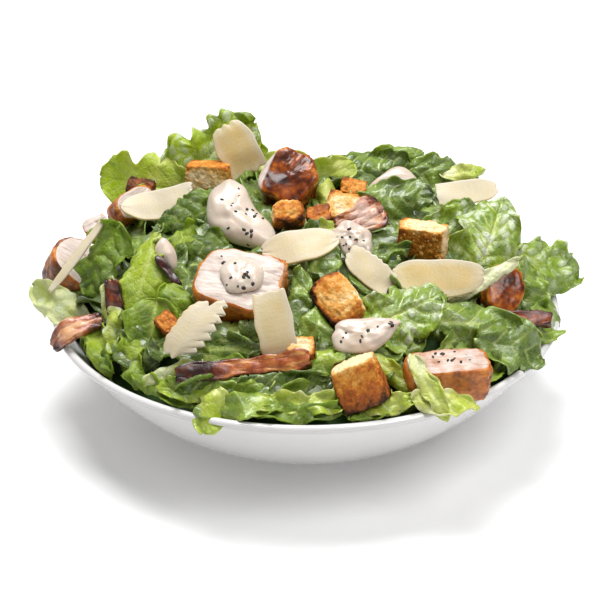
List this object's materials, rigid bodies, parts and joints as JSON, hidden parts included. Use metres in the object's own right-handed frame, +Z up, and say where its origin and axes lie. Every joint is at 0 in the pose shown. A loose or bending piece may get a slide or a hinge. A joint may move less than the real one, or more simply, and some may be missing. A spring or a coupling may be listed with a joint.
{
  "type": "chicken caesar salad in a bowl",
  "caption": "Round white bowl heaped with romaine leaves, sliced roast chicken, toasted croutons, crisp bacon, shaved hard cheese and creamy peppered dressing.",
  "frame": {"origin": "centre of the bowl's flat base, on the surface it stands on", "axes": "+Z up through the heap; -Y is the side the salad is served and pictured from; +X to its right"},
  "size_m": [0.2834, 0.26, 0.1306],
  "materials": {
    "bowl": "smooth white glaze, softly glossy",
    "lettuce": "crisp leaves, waxy sheen, dark green to pale yellow-green, paler ribs",
    "chicken": "moist pale flesh with golden-brown roasted skin",
    "crouton": "dry toasted bread, golden crumb with browned edges",
    "bacon": "crisp fried rashers, red-brown with paler fat",
    "dressing": "thick cream, off-white, flecked with black pepper",
    "parmesan": "thin matt shavings, ivory to pale yellow"
  },
  "bodies": {
    "root": {"bowl": "bowl", "lettuce": "lettuce", "chicken_center": "chicken", "chicken_left": "chicken", "chicken_upper_left": "chicken", "chicken_right_front": "chicken", "chicken_glazed": "chicken", "chicken_right_dark": "chicken", "chicken_far_left": "chicken", "crouton_upper_left": "crouton", "crouton_seeded": "crouton", "crouton_center": "crouton", "crouton_front": "crouton", "crouton_back": "crouton", "crouton_back_low": "crouton", "crouton_back_orange": "crouton", "crouton_charred": "crouton", "crouton_low_left": "crouton", "crouton_by_bacon": "crouton", "crouton_hidden_left": "crouton", "bacon_left": "bacon", "bacon_left_upright": "bacon", "bacon_dark": "bacon", "bacon_front": "bacon", "bacon_right": "bacon", "bacon_back": "bacon", "dressing_top": "dressing", "dressing_upper_right": "dressing", "dressing_middle": "dressing", "dressing_on_chicken": "dressing", "dressing_low": "dressing", "dressing_left": "dressing", "parmesan_left": "parmesan", "parmesan_top": "parmesan", "parmesan_center": "parmesan", "parmesan_front_left": "parmesan", "parmesan_front": "parmesan", "parmesan_right": "parmesan", "parmesan_upper_right": "parmesan", "parmesan_middle_right": "parmesan", "parmesan_edge_left": "parmesan"}
  },
  "joints": []
}
